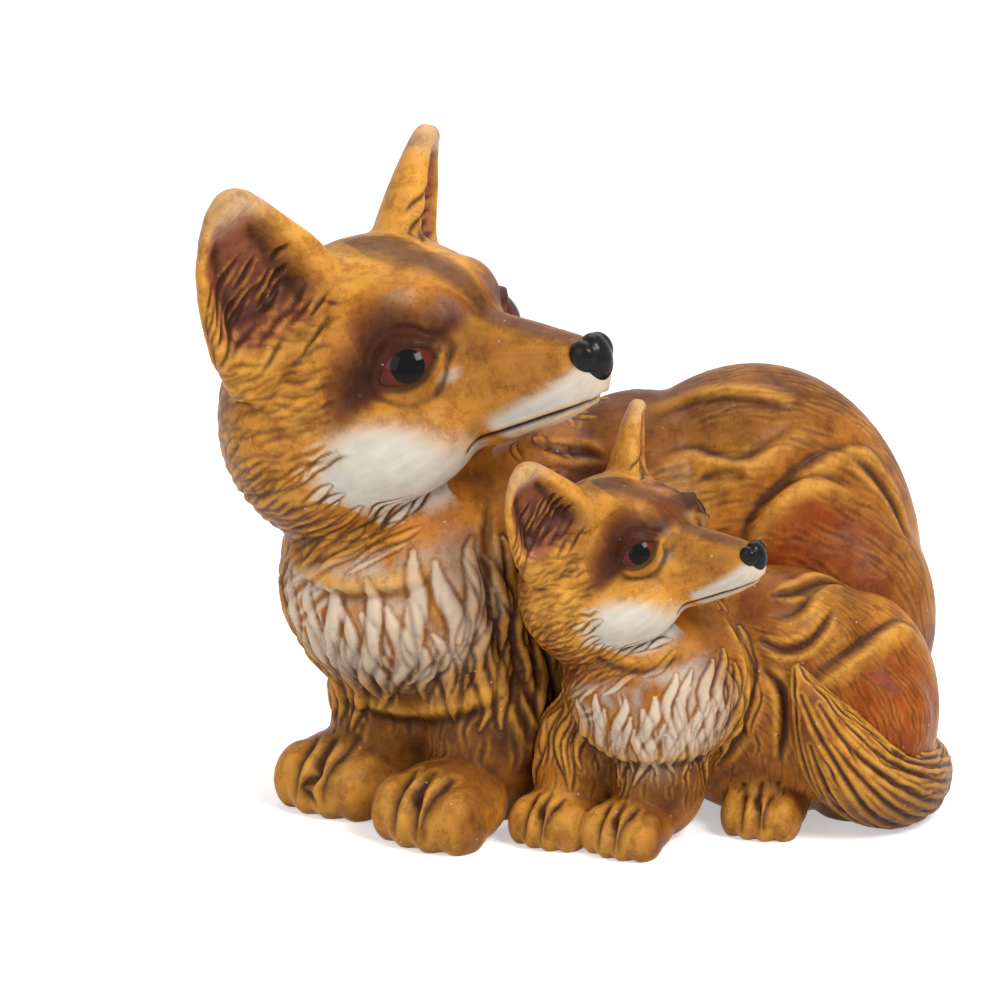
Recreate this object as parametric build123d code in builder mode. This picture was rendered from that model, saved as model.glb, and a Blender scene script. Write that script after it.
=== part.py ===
from build123d import *
from math import cos, radians, sin
import os

os.makedirs("parts", exist_ok=True)

# A resting vixen with her cub against her flank, cast in pieces that are luted together.
# Lengths are millimetres and angles are degrees. The pair looks towards +X and the viewer
# stands on the -Y side, so each fox's own right side is the one that faces the viewer.

# Driving sizes of the vixen
vixen_head_length = 100.0
vixen_trunk_length = 200.0
vixen_trunk_width = 120.0
vixen_trunk_height = 120.0
vixen_right_ear_height = 43.0
vixen_left_ear_height = 37.0
vixen_ear_width = 42.0
vixen_eye_diameter = 17.0
vixen_nose_diameter = 13.0
vixen_paw_length = 37.0
vixen_paw_width = 36.0
vixen_paw_height = 24.0
vixen_tail_length = 150.0
vixen_tail_diameter = 28.0

# Driving sizes of the cub
cub_head_length = 62.0
cub_trunk_length = 120.0
cub_trunk_width = 70.0
cub_trunk_height = 72.0
cub_right_ear_height = 25.0
cub_left_ear_height = 22.0
cub_ear_width = 26.0
cub_eye_diameter = 10.5
cub_nose_diameter = 8.0
cub_paw_length = 28.0
cub_paw_width = 24.0
cub_paw_height = 17.0
cub_tail_length = 96.0
cub_tail_diameter = 29.0

# Sizes that both foxes share
clearance = 0.3

# A rounded form is hewn in flat facets: rings at these heights over its middle, and
# facets around each ring, which start off the symmetry planes
ring_lifts = (-74.0, -49.0, -24.5, 0.0, 24.5, 49.0, 74.0)
ring_facets = 18
ring_start = 7.0
whole_turn = 360.0

# Where the two foxes stand, from the middle of the group
vixen_stand_x = -3.77
vixen_stand_y = -2.57
cub_from_vixen_x = 46.0
cub_from_vixen_y = -28.0

vixen = {
    "name": "vixen",
    "stand": (vixen_stand_x, vixen_stand_y),
    "trunk": (vixen_trunk_length, vixen_trunk_width, vixen_trunk_height),
    "head": vixen_head_length,
    "ear_width": vixen_ear_width,
    "ear_height": {"right": vixen_right_ear_height, "left": vixen_left_ear_height},
    "eye": vixen_eye_diameter,
    "nose": vixen_nose_diameter,
    "paw": (vixen_paw_length, vixen_paw_width, vixen_paw_height),
    "tail": (vixen_tail_length, vixen_tail_diameter),
    "head_place_share": (-0.266, -0.067, 1.063),
    "head_turn": 40.0,
    "head_lift": 14.3,
    "head_roll": 8.7,
    "neck_place_share": (-0.42, -0.067, 0.608),
    "neck_tilt": 21.0,
    "neck_heading": 8.0,
    "spine_heading": 25.0,
    "chest_seam_share": -0.06,
    "haunch_seam_share": 0.19,
    "leg_seam_share": 0.3,
    "leg_gap_share": 0.112,
    "leg_gap_heading": 143.0,
}
# Forms of a trunk: place and half sizes as shares of its sizes, and the turn on the ground
vixen["trunk_shares"] = {
    "nape": ((-0.21, 0.067, 0.8), (0.17, 0.267, 0.283), 0),
    "chest": ((-0.215, -0.067, 0.55), (0.195, 0.292, 0.308), 0),
    "shoulder": ((-0.06, 0.067, 0.417), (0.18, 0.283, 0.417), 0),
    "middle": ((0.1, 0.167, 0.467), (0.21, 0.317, 0.458), 15),
    "haunch": ((0.26, 0.2, 0.467), (0.245, 0.317, 0.517), 0),
    "thigh": ((0.385, 0.067, 0.4), (0.135, 0.217, 0.3), 0),
    "right_leg": ((-0.11, -0.167, 0.233), (0.1, 0.167, 0.267), 0),
    "left_leg": ((-0.25, -0.05, 0.233), (0.09, 0.15, 0.25), 0),
}
vixen["paw_shares"] = {"right": ((-0.178, -0.35), 235), "left": ((-0.318, -0.117), 235)}

cub = {
    "name": "cub",
    "stand": (vixen_stand_x + cub_from_vixen_x, vixen_stand_y + cub_from_vixen_y),
    "trunk": (cub_trunk_length, cub_trunk_width, cub_trunk_height),
    "head": cub_head_length,
    "ear_width": cub_ear_width,
    "ear_height": {"right": cub_right_ear_height, "left": cub_left_ear_height},
    "eye": cub_eye_diameter,
    "nose": cub_nose_diameter,
    "paw": (cub_paw_length, cub_paw_width, cub_paw_height),
    "tail": (cub_tail_length, cub_tail_diameter),
    "head_place_share": (-0.283, -0.143, 1.126),
    "head_turn": 40.2,
    "head_lift": 13.7,
    "head_roll": 14.0,
    "neck_place_share": (-0.392, -0.286, 0.75),
    "neck_tilt": 21.0,
    "neck_heading": 8.0,
    "spine_heading": 16.0,
    "chest_seam_share": -0.07,
    "haunch_seam_share": 0.2,
    "leg_seam_share": 0.32,
    "leg_gap_share": 0.236,
    "leg_gap_heading": 158.0,
}
cub["trunk_shares"] = {
    "chest": ((-0.183, -0.129, 0.611), (0.225, 0.329, 0.361), 0),
    "middle": ((0.083, 0.086, 0.5), (0.317, 0.343, 0.5), 0),
    "haunch": ((0.283, 0.114, 0.417), (0.192, 0.314, 0.472), 0),
    "thigh": ((0.317, -0.086, 0.444), (0.133, 0.171, 0.236), 0),
    "right_leg": ((-0.183, -0.2, 0.278), (0.117, 0.186, 0.278), 0),
    "left_leg": ((-0.367, -0.1, 0.278), (0.108, 0.171, 0.278), 0),
}
cub["paw_shares"] = {
    "right": ((-0.25, -0.343), 240),
    "left": ((-0.417, -0.229), 240),
    "hind": ((0.067, -0.114), 250),
}

# Forms of a head as shares of its length: forward, left and up, then the half sizes
head_form_shares = {
    "skull": ((0.0, 0.0, 0.02), (0.37, 0.36, 0.33), 0),
    "brow": ((0.18, 0.0, 0.06), (0.26, 0.25, 0.22), 0),
    "mane": ((-0.11, -0.05, -0.13), (0.36, 0.43, 0.38), 0),
    "right_cheek": ((0.13, -0.19, -0.16), (0.27, 0.2, 0.19), 25),
    "left_cheek": ((0.13, 0.19, -0.16), (0.27, 0.2, 0.19), -25),
    "bridge": ((0.36, 0.0, -0.02), (0.3, 0.14, 0.12), 0),
    "muzzle": ((0.5, 0.0, -0.11), (0.29, 0.13, 0.11), 0),
    "jaw": ((0.42, 0.0, -0.19), (0.28, 0.12, 0.08), 0),
}

# The nose and the eyes are domes on flat seats; a dome's height is a share of its diameter
nose_place_share = (0.765, 0.0, -0.05)
nose_dome_share = 0.55
eye_place_share = (0.3, 0.213, 0.055)
eye_look_share = (0.35, 0.9, 0.2)
eye_dome_share = 0.35

# An ear stands on a slanted seat; its sections run from the seat to the tip
ear_foot_share = (-0.03, 0.27, 0.22)
ear_tip_shares = {"right": (0.025, 0.413, 0.631), "left": (0.053, 0.413, 0.551)}
ear_seat_share = 0.31
ear_seat_slant = 38.5
ear_opening_turn = {"right": 15.0, "left": 40.0}
ear_section_shares = [(-0.25, 0.5), (0.3, 0.43), (0.65, 0.29), (0.88, 0.15), (1.0, 0.06)]
ear_hollow_shares = [(0.1, 0.36), (0.45, 0.27), (0.72, 0.15), (0.88, 0.05)]
ear_depth_share = 0.5
ear_hollow_shift_share = 0.12

# Height of a paw's middle over the ground, as a share of the paw's height
paw_rise_share = 0.38
half_shares = (0.5, 0.5, 0.5)

# Tail stations: along each axis as shares of the tail's length, then the thickness
vixen_tail_shares = [
    ((0.62, 0.24, 0.08), 0.5),
    ((0.48, 0.38, 0.087), 0.9),
    ((0.25, 0.42, 0.093), 1.0),
    ((0.05, 0.37, 0.09), 0.85),
    ((-0.12, 0.29, 0.067), 0.3),
]
cub_tail_shares = [
    ((0.36, 0.3, 0.09), 0.5),
    ((0.52, 0.2, 0.1), 0.66),
    ((0.52, 0.0, 0.13), 0.8),
    ((0.38, -0.13, 0.2), 1.0),
    ((0.25, -0.18, 0.31), 0.85),
    ((0.14, -0.2, 0.45), 0.25),
]


def times(shares, sizes):
    return tuple(share * size for share, size in zip(shares, sizes))


def stand_frame(fox):
    x, y = fox["stand"]
    return Plane(origin=(x, y, 0))


def head_frame(fox):
    turn = radians(fox["head_turn"])
    lift = radians(fox["head_lift"])
    roll = radians(fox["head_roll"])
    forward = Vector(cos(turn) * cos(lift), -sin(turn) * cos(lift), sin(lift))
    level = Vector(sin(turn), cos(turn), 0)
    side = level * cos(roll) + forward.cross(level) * sin(roll)
    place = times(fox["head_place_share"], fox["trunk"])
    return Plane(origin=stand_frame(fox).from_local_coords(place), x_dir=forward, z_dir=forward.cross(side))


def ring(frame, half_x, half_y, shift_y=0.0):
    turns = [radians(ring_start + whole_turn * count / ring_facets) for count in range(ring_facets)]
    points = [(half_x * cos(turn), half_y * sin(turn) + shift_y, 0) for turn in turns]
    return [frame.from_local_coords(point) for point in points]


def hewn(rings, flat):
    """A closed form with a facet, or two where the rings tilt, between neighbours on two rings."""
    faces = [Face(Wire.make_polygon(rings[0])), Face(Wire.make_polygon(rings[-1]))]
    for low, high in zip(rings, rings[1:]):
        for count in range(ring_facets):
            corners = [low[count - 1], low[count], high[count], high[count - 1]]
            if flat:
                faces.append(Face(Wire.make_polygon(corners)))
            else:
                faces.append(Face(Wire.make_polygon(corners[:3])))
                faces.append(Face(Wire.make_polygon([corners[0], *corners[2:]])))
    return Solid(Shell(faces))


def ball(frame, half_x, half_y, half_z):
    lifts = [radians(lift) for lift in ring_lifts]
    rings = [ring(frame.offset(half_z * sin(lift)), half_x * cos(lift), half_y * cos(lift)) for lift in lifts]
    return hewn(rings, True)


def lump(frame, shares, sizes, grow=0.0):
    place, half_sizes, turn = shares
    spot = frame.from_local_coords(times(place, sizes))
    forward = frame.x_dir * cos(radians(turn)) + frame.y_dir * sin(radians(turn))
    halves = [half + grow for half in times(half_sizes, sizes)]
    return ball(Plane(origin=spot, x_dir=forward, z_dir=frame.z_dir), *halves)


def head_lumps(fox, names, grow=0.0):
    sizes = (fox["head"],) * 3
    return [lump(head_frame(fox), head_form_shares[name], sizes, grow) for name in names]


def trunk_lumps(fox, names, grow=0.0):
    return [lump(stand_frame(fox), fox["trunk_shares"][name], fox["trunk"], grow) for name in names]


def neck_plane(fox):
    tilt = radians(fox["neck_tilt"])
    heading = radians(fox["neck_heading"])
    lean = (-sin(tilt) * cos(heading), -sin(tilt) * sin(heading), cos(tilt))
    place = times(fox["neck_place_share"], fox["trunk"])
    return Plane(origin=stand_frame(fox).from_local_coords(place), z_dir=lean)


def seam_plane(fox, share):
    heading = radians(fox["spine_heading"])
    along = Vector(cos(heading), sin(heading), 0)
    start = stand_frame(fox).from_local_coords((0, 0, 0))
    return Plane(origin=start + along * (share * fox["trunk"][0]), z_dir=along)


def leg_plane(fox):
    return Plane.XY.offset(fox["leg_seam_share"] * fox["trunk"][2])


def leg_gap_plane(fox):
    heading = radians(fox["leg_gap_heading"])
    across = Vector(cos(heading), sin(heading), 0)
    start = stand_frame(fox).from_local_coords((0, 0, 0))
    return Plane(origin=start + across * (fox["leg_gap_share"] * fox["trunk"][0]), z_dir=across)


def paw_lump(fox, side):
    place, heading = fox["paw_shares"][side]
    spot = stand_frame(fox).from_local_coords((*times(place, fox["trunk"]), 0))
    return lump(Plane(origin=spot), ((0, 0, paw_rise_share), half_shares, heading), fox["paw"])


def ear_planes(fox, side):
    sign = -1 if side == "right" else 1
    frame = head_frame(fox)
    foot = times((ear_foot_share[0], sign * ear_foot_share[1], ear_foot_share[2]), (fox["head"],) * 3)
    tip_share = ear_tip_shares[side]
    tip = times((tip_share[0], sign * tip_share[1], tip_share[2]), (fox["head"],) * 3)
    foot, tip = frame.from_local_coords(foot), frame.from_local_coords(tip)
    rise = (tip - foot).normalized()
    opening = frame.x_dir.rotate(Axis((0, 0, 0), tuple(frame.z_dir)), sign * ear_opening_turn[side])
    width_dir = rise.cross(opening)
    slant = radians(ear_seat_slant)
    outward = frame.y_dir * (sign * sin(slant)) + frame.z_dir * cos(slant)
    seat = Plane(origin=frame.origin + outward * (ear_seat_share * fox["head"]), z_dir=outward)
    return Plane(origin=foot, x_dir=width_dir, z_dir=rise), seat


def ear_horn(fox, side, sections, shift):
    base, _ = ear_planes(fox, side)
    width = fox["ear_width"]
    height = fox["ear_height"][side]
    rings = []
    for along, half in sections:
        plane = base.offset(along * height)
        rings.append(ring(plane, half * width, half * width * ear_depth_share, -shift * width))
    return hewn(rings, True)


def dome(frame, place, look, diameter, dome_share, grow):
    spot = frame.from_local_coords(place)
    toward = frame.x_dir * look[0] + frame.y_dir * look[1] + frame.z_dir * look[2]
    seat = Plane(origin=spot, z_dir=toward)
    radius = diameter / 2 + grow
    height = diameter * dome_share + grow
    with BuildPart() as cap:
        add(ball(seat, radius, radius, height))
        split(bisect_by=seat, keep=Keep.TOP)
    return cap.part


def eye_dome(fox, side, grow=0.0):
    hand = (1, -1, 1) if side == "right" else (1, 1, 1)
    place = times(times(eye_place_share, hand), (fox["head"],) * 3)
    return dome(head_frame(fox), place, times(eye_look_share, hand), fox["eye"], eye_dome_share, grow)


def nose_dome(fox, grow=0.0):
    place = times(nose_place_share, (fox["head"],) * 3)
    return dome(head_frame(fox), place, (1, 0, 0), fox["nose"], nose_dome_share, grow)


def head_piece(fox, neck_names):
    seats = [nose_dome(fox, clearance), eye_dome(fox, "right", clearance), eye_dome(fox, "left", clearance)]
    forms = head_lumps(fox, head_form_shares) + trunk_lumps(fox, neck_names)
    with BuildPart() as head:
        add(forms)
        split(bisect_by=neck_plane(fox), keep=Keep.TOP)
        for side in ("right", "left"):
            split(bisect_by=ear_planes(fox, side)[1], keep=Keep.BOTTOM)
        add(seats, mode=Mode.SUBTRACT)
    return head.part


def ear_piece(fox, side):
    horn = ear_horn(fox, side, ear_section_shares, 0)
    hollow = ear_horn(fox, side, ear_hollow_shares, ear_hollow_shift_share)
    root = head_lumps(fox, ["skull"])
    with BuildPart() as ear:
        add(horn)
        add(root)
        split(bisect_by=ear_planes(fox, side)[1], keep=Keep.TOP)
        add(hollow, mode=Mode.SUBTRACT)
    return ear.part


def trunk_piece(fox, names, cuts, paws=(), nested=()):
    forms = trunk_lumps(fox, names) + [paw_lump(fox, paw) for paw in paws]
    with BuildPart() as piece:
        add(forms)
        for plane, side in cuts:
            split(bisect_by=plane, keep=side)
        split(bisect_by=Plane.XY, keep=Keep.TOP)
        for hollow in nested:
            add(hollow, mode=Mode.SUBTRACT)
    return piece.part


def chest_piece(fox, names, nested=()):
    cuts = [
        (neck_plane(fox), Keep.BOTTOM),
        (seam_plane(fox, fox["chest_seam_share"]), Keep.BOTTOM),
        (leg_plane(fox), Keep.TOP),
    ]
    return trunk_piece(fox, names, cuts, (), nested)


def foreleg_piece(fox, side, names, nested=()):
    cuts = [
        (seam_plane(fox, fox["chest_seam_share"]), Keep.BOTTOM),
        (leg_plane(fox), Keep.BOTTOM),
        (leg_gap_plane(fox), Keep.BOTTOM if side == "right" else Keep.TOP),
    ]
    return trunk_piece(fox, names, cuts, [side], nested)


def body_piece(fox, names, nested=()):
    cuts = [
        (neck_plane(fox), Keep.BOTTOM),
        (seam_plane(fox, fox["chest_seam_share"]), Keep.TOP),
        (seam_plane(fox, fox["haunch_seam_share"]), Keep.BOTTOM),
    ]
    return trunk_piece(fox, names, cuts, (), nested)


def haunch_piece(fox, names, nested=()):
    cuts = [(seam_plane(fox, fox["haunch_seam_share"]), Keep.TOP)]
    return trunk_piece(fox, names, cuts, (), nested)


def tail_piece(fox, stations, behind):
    length, diameter = fox["tail"]
    frame = stand_frame(fox)
    centres = [frame.from_local_coords(times(place, (length,) * 3)) for place, _ in stations]
    rings = []
    for index, (_, thick) in enumerate(stations):
        ahead = centres[min(index + 1, len(centres) - 1)]
        astern = centres[max(index - 1, 0)]
        plane = Plane(origin=centres[index], x_dir=(ahead - astern).cross(Vector(0, 0, 1)), z_dir=ahead - astern)
        rings.append(ring(plane, thick * diameter / 2, thick * diameter / 2))
    with BuildPart() as tail:
        add(hewn(rings, False))
        split(bisect_by=Plane.XY, keep=Keep.TOP)
        add(behind, mode=Mode.SUBTRACT)
    return tail.part


def write(part, name):
    part.label = name
    export_step(part, f"parts/{name}.step")


for fox, neck_names in ((vixen, ["nape"]), (cub, [])):
    name = fox["name"]
    write(head_piece(fox, neck_names), f"{name}_head")
    write(nose_dome(fox), f"{name}_nose")
    for side in ("right", "left"):
        write(ear_piece(fox, side), f"{name}_{side}_ear")
        write(eye_dome(fox, side), f"{name}_{side}_eye")

# The vixen's pieces are nested round the cub that lies against them
head_nest = head_lumps(cub, ["skull", "mane"], clearance)
leg_nest = trunk_lumps(cub, ["left_leg"], clearance)
body_nest = trunk_lumps(cub, ["chest", "middle", "left_leg"], clearance)
body_nest += head_lumps(cub, ["skull", "mane", "left_cheek"], clearance)
haunch_nest = trunk_lumps(cub, ["chest", "middle", "haunch", "thigh"], clearance)

write(chest_piece(vixen, ["nape", "chest", "shoulder", "right_leg", "left_leg"], head_nest), "vixen_chest")
write(foreleg_piece(vixen, "right", ["chest", "shoulder", "right_leg"], leg_nest), "vixen_right_foreleg")
write(foreleg_piece(vixen, "left", ["chest", "shoulder", "left_leg"]), "vixen_left_foreleg")
write(body_piece(vixen, ["nape", "shoulder", "middle", "haunch", "right_leg"], body_nest), "vixen_body")
write(haunch_piece(vixen, ["middle", "haunch", "thigh"], haunch_nest), "vixen_haunch")

write(chest_piece(cub, ["chest", "middle", "right_leg", "left_leg"]), "cub_chest")
write(foreleg_piece(cub, "right", ["chest", "middle", "right_leg"]), "cub_right_foreleg")
write(foreleg_piece(cub, "left", ["chest", "middle", "left_leg"]), "cub_left_foreleg")
write(body_piece(cub, ["chest", "middle", "haunch"]), "cub_body")
write(haunch_piece(cub, ["middle", "haunch", "thigh"]), "cub_haunch")

# Each tail lies in front of what it touches, and the cub's hind paw beside the cub's body
vixen_rear = trunk_lumps(vixen, ["shoulder", "middle", "haunch", "thigh"], clearance)
cub_rear = trunk_lumps(cub, ["middle", "haunch", "thigh"], clearance)
write(tail_piece(vixen, vixen_tail_shares, vixen_rear), "vixen_tail")
write(tail_piece(cub, cub_tail_shares, cub_rear + vixen_rear), "cub_tail")

with BuildPart() as hind_paw:
    add(paw_lump(cub, "hind"))
    split(bisect_by=Plane.XY, keep=Keep.TOP)
    add(trunk_lumps(cub, ["middle"], clearance), mode=Mode.SUBTRACT)
write(hind_paw.part, "cub_hind_paw")
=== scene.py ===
import bpy
import bmesh
import numpy as np
from math import cos, sin, radians, pi
from mathutils import Matrix, Vector
from mathutils.bvhtree import BVHTree


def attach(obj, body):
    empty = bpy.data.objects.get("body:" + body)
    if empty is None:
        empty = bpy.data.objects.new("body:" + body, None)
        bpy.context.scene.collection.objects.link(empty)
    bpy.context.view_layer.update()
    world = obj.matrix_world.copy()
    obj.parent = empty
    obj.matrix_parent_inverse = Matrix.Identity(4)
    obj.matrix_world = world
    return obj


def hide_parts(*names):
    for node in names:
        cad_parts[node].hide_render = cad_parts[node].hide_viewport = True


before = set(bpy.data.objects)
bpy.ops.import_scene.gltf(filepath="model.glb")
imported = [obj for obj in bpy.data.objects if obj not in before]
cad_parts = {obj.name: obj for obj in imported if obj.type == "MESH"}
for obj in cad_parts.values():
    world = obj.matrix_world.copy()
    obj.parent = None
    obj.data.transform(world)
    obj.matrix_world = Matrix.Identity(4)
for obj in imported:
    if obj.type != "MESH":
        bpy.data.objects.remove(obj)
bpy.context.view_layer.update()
mm = 0.001
coarse = 1.0

# camera: 1.5 m away, 16 degrees over level, looking along +Y
camera = {"target": (-23.67, -2.57, 84.8), "lift": 16.0, "distance": 1500.0, "mmPerPixel": 0.28, "sensor": 36.0}
lift = radians(camera["lift"])
lookDir = np.array([0.0, cos(lift), -sin(lift)])
lookUp = np.array([0.0, sin(lift), cos(lift)])
cameraSpot = np.array(camera["target"]) - lookDir * camera["distance"]
cameraData = bpy.data.cameras.new("camera")
cameraData.sensor_width = camera["sensor"]
cameraData.lens = camera["sensor"] * camera["distance"] / (1000 * camera["mmPerPixel"])
cameraData.clip_end = 20
cameraObject = bpy.data.objects.new("camera", cameraData)
cameraObject.location = Vector(cameraSpot) * mm
cameraObject.rotation_euler = (pi / 2 - lift, 0, 0)
bpy.context.collection.objects.link(cameraObject)
bpy.context.scene.camera = cameraObject
print("camera set")


# small maths on whole meshes, in millimetres
def unit(v):
    v = np.asarray(v, float)
    return v / np.linalg.norm(v)


def smoothStep(low, high, x):
    t = np.clip((x - low) / (high - low), 0, 1)
    return t * t * (3 - 2 * t)


def bump(d):
    return np.exp(-d * d)


# value noise, -1 to 1
def noise(p, size, seed):
    q = np.asarray(p, float) / size
    cell = np.floor(q).astype(np.int64)
    f = q - cell
    f = f * f * (3 - 2 * f)
    total = 0
    for corner in range(8):
        bit = np.array([corner & 1, corner >> 1 & 1, corner >> 2 & 1])
        n = ((cell + bit) * np.array([73856093, 19349663, 83492791])).sum(1) + seed * 6271
        n = (n ^ (n >> 13)) * 1274126177 & 0x7fffffff
        n = (n ^ (n >> 15)) & 0xffff
        total = total + n / 65535 * np.prod(np.where(bit, f, 1 - f), axis=1)
    return total * 2 - 1


def fractal(p, size, seed, octaves=3):
    return sum(noise(p, size / 2 ** k, seed + k) / 1.8 ** k for k in range(octaves)) / 1.6


# a worked mesh: points, faces and what the paint needs to know
class Clay:

    def __init__(self, mesh):
        n, m = len(mesh.vertices), len(mesh.polygons)
        self.co = np.empty(n * 3)
        mesh.vertices.foreach_get("co", self.co)
        self.co = self.co.reshape(-1, 3) / mm
        loops = np.empty(len(mesh.loops), np.int64)
        mesh.loops.foreach_get("vertex_index", loops)
        self.quads = loops.reshape(m, 4)
        self.edges = np.empty(len(mesh.edges) * 2, np.int64)
        mesh.edges.foreach_get("vertices", self.edges)
        self.edges = self.edges.reshape(-1, 2)
        self.degree = np.maximum(np.bincount(self.edges.ravel(), minlength=n), 1)
        self.mesh = mesh
        self.cut, self.lift = np.zeros(n), np.zeros(n)
        self.order = None
        self.paint = {mark: np.zeros(n) for mark in ("grooveAndShade", "ridge", "mouth", "lit")}

    def mean(self, values):
        a, b = self.edges.T
        n = len(self.co)
        if values.ndim == 1:
            return (np.bincount(a, values[b], n) + np.bincount(b, values[a], n)) / self.degree
        return np.stack([self.mean(values[:, k]) for k in range(values.shape[1])], 1)

    def relax(self, rounds, weight=1.0):
        weight = np.broadcast_to(weight, len(self.co))[:, None] * 0.6
        for k in range(rounds):
            self.co = self.co + (self.mean(self.co) - self.co) * weight

    def normals(self):
        q = self.co[self.quads]
        face = np.cross(q[:, 2] - q[:, 0], q[:, 3] - q[:, 1])
        n = len(self.co)
        total = np.zeros((n, 3))
        for k in range(3):
            for corner in range(4):
                total[:, k] += np.bincount(self.quads[:, corner], face[:, k], n)
        return total / np.maximum(np.linalg.norm(total, axis=1), 1e-9)[:, None]

    # keeps the stronger of what a mark has and what it gets
    def mark(self, name, near, strength):
        self.paint[name][near] = np.maximum(self.paint[name][near], strength)

    def tree(self):
        return BVHTree.FromPolygons([tuple(p) for p in self.co], self.quads.tolist())


# near points, their distance to the path and share along it
def strokeDistance(clay, path, reach):
    path = np.asarray(path, float)
    low, high = path.min(0) - reach, path.max(0) + reach
    co = clay.co
    if clay.order is None:
        near = np.nonzero(((co > low) & (co < high)).all(1))[0]
    else:
        first, last = np.searchsorted(clay.sortedX, [low[0], high[0]])
        near = clay.order[first:last]
        near = near[((co[near] > low) & (co[near] < high)).all(1)]
    if not len(near):
        return near, None, None
    p = co[near]
    best = np.full(len(near), 1e9)
    share = np.zeros(len(near))
    spans = len(path) - 1
    for k in range(spans):
        a, b = path[k], path[k + 1]
        ab = b - a
        t = np.clip(((p - a) @ ab) / max(ab @ ab, 1e-9), 0, 1)
        d = np.linalg.norm(p - a - t[:, None] * ab, axis=1)
        closer = d < best
        best[closer] = d[closer]
        share[closer] = ((k + t) / spans)[closer]
    keep = best < reach
    return near[keep], best[keep], share[keep]


def onSkin(tree, p):
    return np.array(tree.find_nearest(Vector(p))[0])


# a path that follows the flow over the surface
def traceHair(tree, seed, flow, length, steps, wave, rng):
    path = []
    p = Vector(seed)
    phase = rng.uniform(0, 2 * pi)
    for k in range(steps + 1):
        spot, normal, _, _ = tree.find_nearest(p)
        path.append(np.array(spot))
        n = np.array(normal)
        d = np.asarray(flow(path[-1]), float)
        d = d - n * (d @ n)
        size = np.linalg.norm(d)
        if size < 1e-6:
            break
        d = d / size
        side = np.cross(n, d)
        d = unit(d + side * wave * sin(phase + 2 * pi * k / steps))
        p = Vector(path[-1] + d * length / steps)
    return np.array(path)


# seed points spread over the masked surface, at most this many tries for each
scatterTries = 12


def scatter(clay, mask, spacing, rng, count):
    ids = np.nonzero(rng.random(len(mask)) < mask)[0]
    if not len(ids):
        return []
    rng.shuffle(ids)
    seeds = []
    kept = np.empty((0, 3))
    for i in ids[:count * scatterTries]:
        p = clay.co[i]
        if len(kept) and (np.linalg.norm(kept - p, axis=1) < spacing).any():
            continue
        kept = np.vstack([kept, p])
        seeds.append(p)
        if len(seeds) >= count:
            break
    return seeds


# forms and frames
def headAxes(turn, rise, roll):
    turn, rise, roll = radians(turn), radians(rise), radians(roll)
    forward = np.array([cos(turn) * cos(rise), -sin(turn) * cos(rise), sin(rise)])
    level = np.array([sin(turn), cos(turn), 0.0])
    left = level * cos(roll) + np.cross(forward, level) * sin(roll)
    return np.array([forward, left, np.cross(forward, left)])


def ground(direction):
    return np.array([cos(radians(direction)), sin(radians(direction)), 0])


# rows along, left and up of a heading over the ground
def turned(heading):
    along = ground(heading)
    return np.array([along, [-along[1], along[0], 0], [0, 0, 1.0]])


# an ellipsoid; axes are rows
def addBall(bm, place, halves, axes):
    m = Matrix.Translation(Vector(place) * mm) @ Matrix(axes.T.tolist()).to_4x4()
    m = m @ Matrix.Diagonal((*[h * mm for h in halves], 1))
    bmesh.ops.create_icosphere(bm, subdivisions=4, radius=1.0, matrix=m)


# rings: centre, then the two half axes as vectors
def addLoft(bm, rings):
    loops = []
    for centre, a, b in rings:
        n = np.cross(a, b)
        m = Matrix(np.array([a, b, unit(n)]).T.tolist()).to_4x4()
        m = Matrix.Translation(Vector(centre) * mm) @ Matrix.Diagonal((mm, mm, mm, 1)) @ m
        made = bmesh.ops.create_circle(bm, cap_ends=False, radius=1.0, segments=32, matrix=m)
        # a dict keeps the edges in order, where a set would shuffle them from run to run
        loops.append(list(dict.fromkeys(e for v in made["verts"] for e in v.link_edges)))
    for low, high in zip(loops, loops[1:]):
        bmesh.ops.bridge_loops(bm, edges=low + high)
    for loop in (loops[0], loops[-1]):
        bmesh.ops.edgeloop_fill(bm, edges=loop)


def remeshed(bm, name, voxel):
    bmesh.ops.recalc_face_normals(bm, faces=bm.faces)
    mesh = bpy.data.meshes.new(name)
    bm.to_mesh(mesh)
    bm.free()
    obj = bpy.data.objects.new(name, mesh)
    bpy.context.collection.objects.link(obj)
    remesh = obj.modifiers.new("clay", "REMESH")
    remesh.mode = "VOXEL"
    remesh.voxel_size = voxel * mm * coarse
    depsgraph = bpy.context.evaluated_depsgraph_get()
    made = bpy.data.meshes.new_from_object(obj.evaluated_get(depsgraph))
    bpy.data.objects.remove(obj)
    return made


# head forms in the head's own millimetres: forward, left, up
headForms = {
    "skull": ((0, 0, 2), (37, 36, 33), 0),
    "brow": ((18, 0, 6), (26, 25, 22), 0),
    "mane": ((-11, -3, -13), (36, 43, 38), 0),
    "rightCheek": ((13, -19, -16), (27, 20, 19), 25),
    "leftCheek": ((13, 19, -16), (27, 20, 19), -25),
}
# the muzzle's sections: forward, up, half width, half height
muzzle = [
    (12, -5, 27, 23), (24, -6.5, 23, 21.5), (34, -7.5, 18.5, 20), (43, -8.3, 15.8, 18.5),
    (52, -9, 13.8, 16), (61, -9.7, 12, 13.2), (69, -9.8, 10, 10.8), (75, -9.6, 7.4, 8.4), (78.5, -9.4, 3.6, 4.6),
]
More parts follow.
